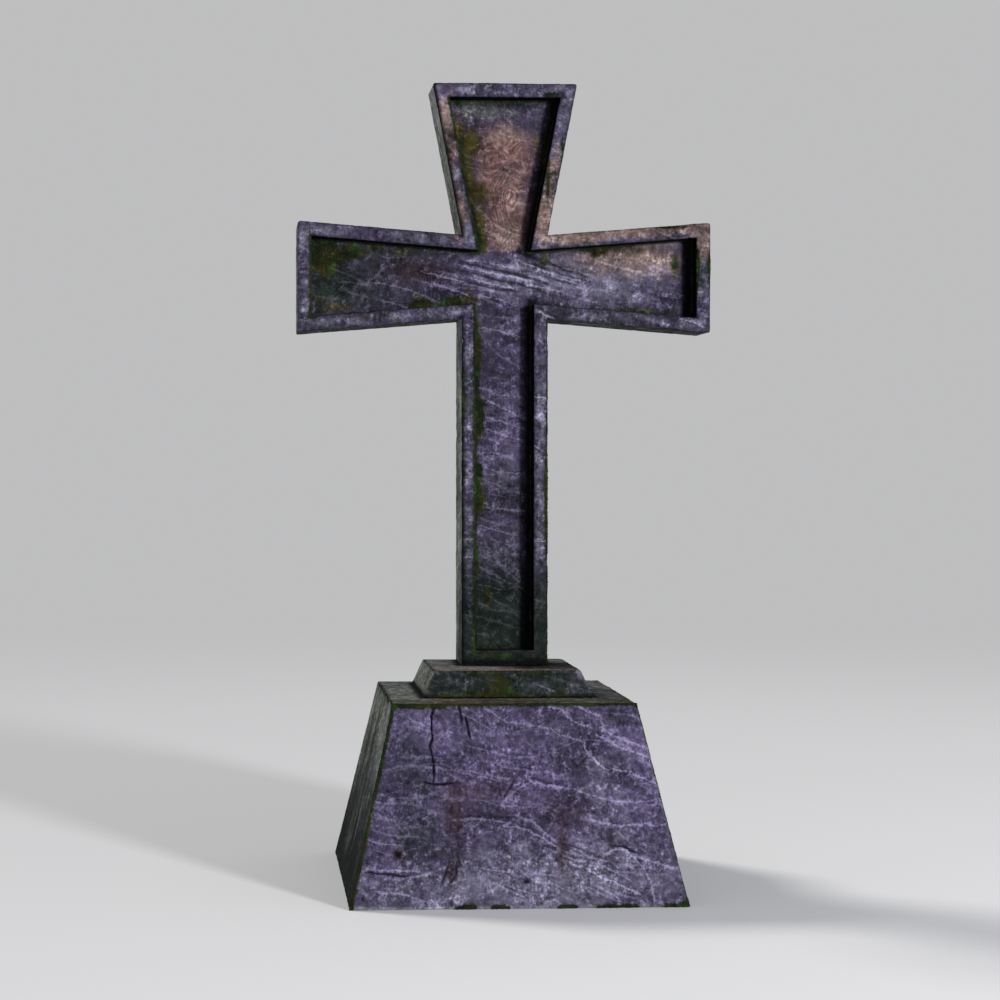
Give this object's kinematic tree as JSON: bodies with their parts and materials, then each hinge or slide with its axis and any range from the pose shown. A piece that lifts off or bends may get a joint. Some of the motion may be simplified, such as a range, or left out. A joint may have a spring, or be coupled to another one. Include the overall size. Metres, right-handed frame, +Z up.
{
  "type": "tombstone",
  "caption": "Weathered stone cross with flared arms and a sunk panel inside a raised rim, standing on a low step on a tapered square plinth.",
  "frame": {"origin": "middle of the plinth's underside, on the ground", "axes": "+Z up; the cross's carved face looks along -Y, its arms run along X"},
  "size_m": [0.786, 0.6028, 1.5001],
  "materials": {
    "plinth_stone": "rough purple-grey stone with pale wavy veins, cracks, brown stains and thin moss along its edges",
    "step_stone": "rough dark grey stone with moss patches, paler and greenish on top",
    "cross_stone": "rough purple-grey stone with slanting pale veins, moss and reddish-brown stains in the sunk panel"
  },
  "bodies": {
    "root": {"plinth": "plinth_stone", "step": "step_stone", "cross": "cross_stone"}
  },
  "joints": []
}
